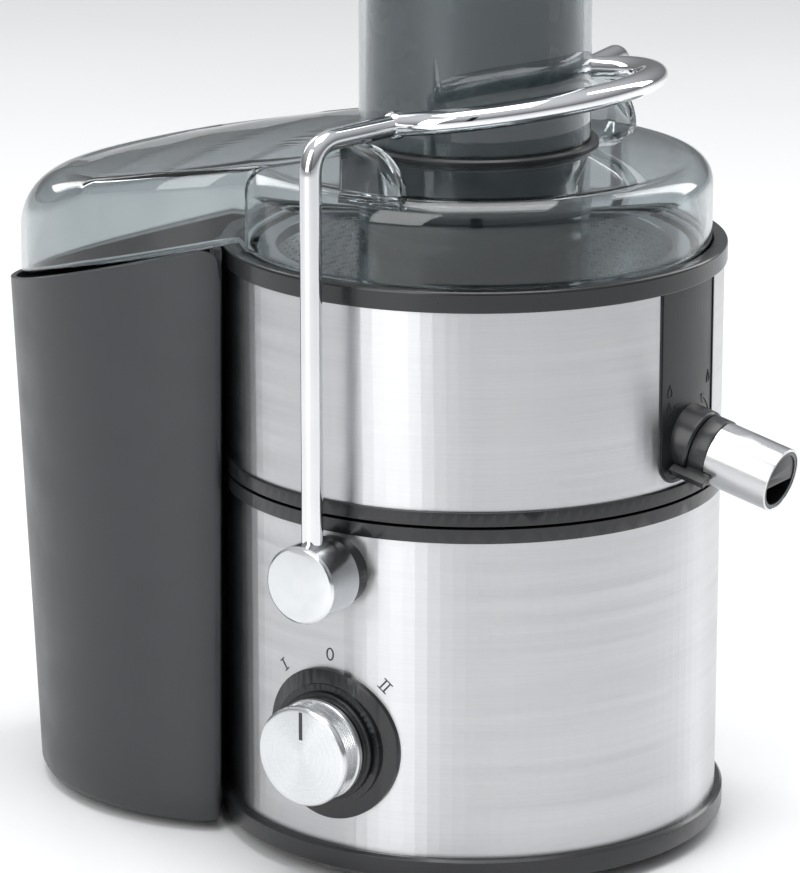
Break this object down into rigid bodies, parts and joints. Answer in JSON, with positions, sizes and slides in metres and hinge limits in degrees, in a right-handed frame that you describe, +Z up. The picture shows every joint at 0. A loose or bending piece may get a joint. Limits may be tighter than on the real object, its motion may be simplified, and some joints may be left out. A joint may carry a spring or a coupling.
{
  "type": "centrifugal juicer",
  "caption": "Centrifugal juicer with steel-clad base, clear lid and feed chute, side pulp container, chrome locking arm, turning spout and speed knob.",
  "frame": {"origin": "on the motor axis at table level, just below the flat underside of the base", "axes": "+Z up, -Y towards the front with the knob, +X towards the spout, the pulp container on the -X side"},
  "size_m": [0.337, 0.2384, 0.3964],
  "materials": {
    "black_plastic": "satin moulded black",
    "brushed_steel": "brushed round the body",
    "black_rubber": "matt",
    "silicone": "soft translucent",
    "plain_steel": "zinc plated or ground",
    "satin_black_plastic": "satin",
    "grey_plastic": "satin",
    "spun_aluminium": "spun face, bright edges",
    "white_plastic": "moulded",
    "circuit_board": "solder mask",
    "lamination_steel": "varnished laminations",
    "copper": "enamelled wire",
    "cast_aluminium": "as cast",
    "carbon": "matt",
    "polished_steel": "polished",
    "smoke_clear": "clear smoke polycarbonate",
    "dark_grey_plastic": "satin",
    "chrome": "mirror",
    "container_plastic": "satin dark grey"
  },
  "bodies": {
    "base": {"base_housing": "black_plastic", "collector_bowl": "black_plastic", "bottom_cover": "black_plastic", "bowl_top_ring": "black_plastic", "base_cladding": "brushed_steel", "bowl_cladding": "brushed_steel", "rubber_feet": "black_rubber", "motor_grommets": "black_rubber", "shaft_seal": "black_rubber", "lid_seal": "silicone", "cover_screws": "plain_steel", "motor_bolts": "plain_steel", "motor_studs": "plain_steel", "motor_spacers": "plain_steel", "pivot_pins": "plain_steel", "upper_bearing": "plain_steel", "lower_bearing": "plain_steel", "cord_inlet": "satin_black_plastic", "escutcheon": "satin_black_plastic", "pivot_bushes": "satin_black_plastic", "spout_panel": "satin_black_plastic", "spout_collar": "satin_black_plastic", "brush_holders": "grey_plastic", "selector_switch": "white_plastic", "interlock_switch": "white_plastic", "circuit_board": "circuit_board", "motor_stator": "lamination_steel", "stator_coils": "copper", "upper_bracket": "cast_aluminium", "lower_bracket": "cast_aluminium", "carbon_brushes": "carbon"},
    "locking_arm": {"locking_arm": "chrome", "arm_caps": "spun_aluminium"},
    "knob": {"knob_cap": "spun_aluminium", "knob_collar": "satin_black_plastic", "knob_shaft": "white_plastic"},
    "rotor": {"motor_shaft": "plain_steel", "armature_core": "lamination_steel", "armature_windings": "copper", "commutator": "copper", "cooling_fan": "grey_plastic", "drive_coupling": "grey_plastic", "basket_hub": "grey_plastic", "grater_disc": "polished_steel", "strainer_cone": "polished_steel", "basket_rim": "grey_plastic"},
    "spout": {"spout_barrel": "satin_black_plastic", "spout_sleeve": "polished_steel", "spout_tip": "grey_plastic", "spout_seal": "silicone"},
    "lid": {"lid": "smoke_clear", "feed_chute": "smoke_clear", "chute_collar": "satin_black_plastic"},
    "pusher": {"pusher": "dark_grey_plastic", "pusher_cap": "dark_grey_plastic"},
    "container": {"pulp_container": "container_plastic", "container_pads": "container_plastic"}
  },
  "joints": [
    {"name": "lid_lift", "type": "slide", "parent": "base", "child": "lid", "axis": [0, 0, 1], "range_m": [0, 0.045]},
    {"name": "arm_swing", "type": "hinge", "parent": "base", "child": "locking_arm", "pos_m": [0, 0, 0.122], "axis": [0, 1, 0], "range_deg": [0, 85]},
    {"name": "container_slide", "type": "slide", "parent": "base", "child": "container", "axis": [-1, 0, 0], "range_m": [0, 0.09]},
    {"name": "pusher_slide", "type": "slide", "parent": "lid", "child": "pusher", "axis": [0, 0, 1], "range_m": [0, 0.16]},
    {"name": "knob_turn", "type": "hinge", "parent": "base", "child": "knob", "pos_m": [-0.0029, -0.1, 0.0542], "axis": [0, -1, 0], "range_deg": [-45, 45]},
    {"name": "motor_spin", "type": "hinge", "parent": "base", "child": "rotor", "pos_m": [0, 0, 0.1], "axis": [0, 0, 1], "continuous": true},
    {"name": "spout_turn", "type": "hinge", "parent": "base", "child": "spout", "pos_m": [0.095, 0, 0.164], "axis": [-0.9703, 0, 0.2419], "range_deg": [0, 90]}
  ],
  "couplings": [
    {"joint": "arm_swing", "follows": "lid_lift", "rad_per_m": 32.967},
    {"joint": "container_slide", "follows": "lid_lift", "ratio": 2}
  ]
}
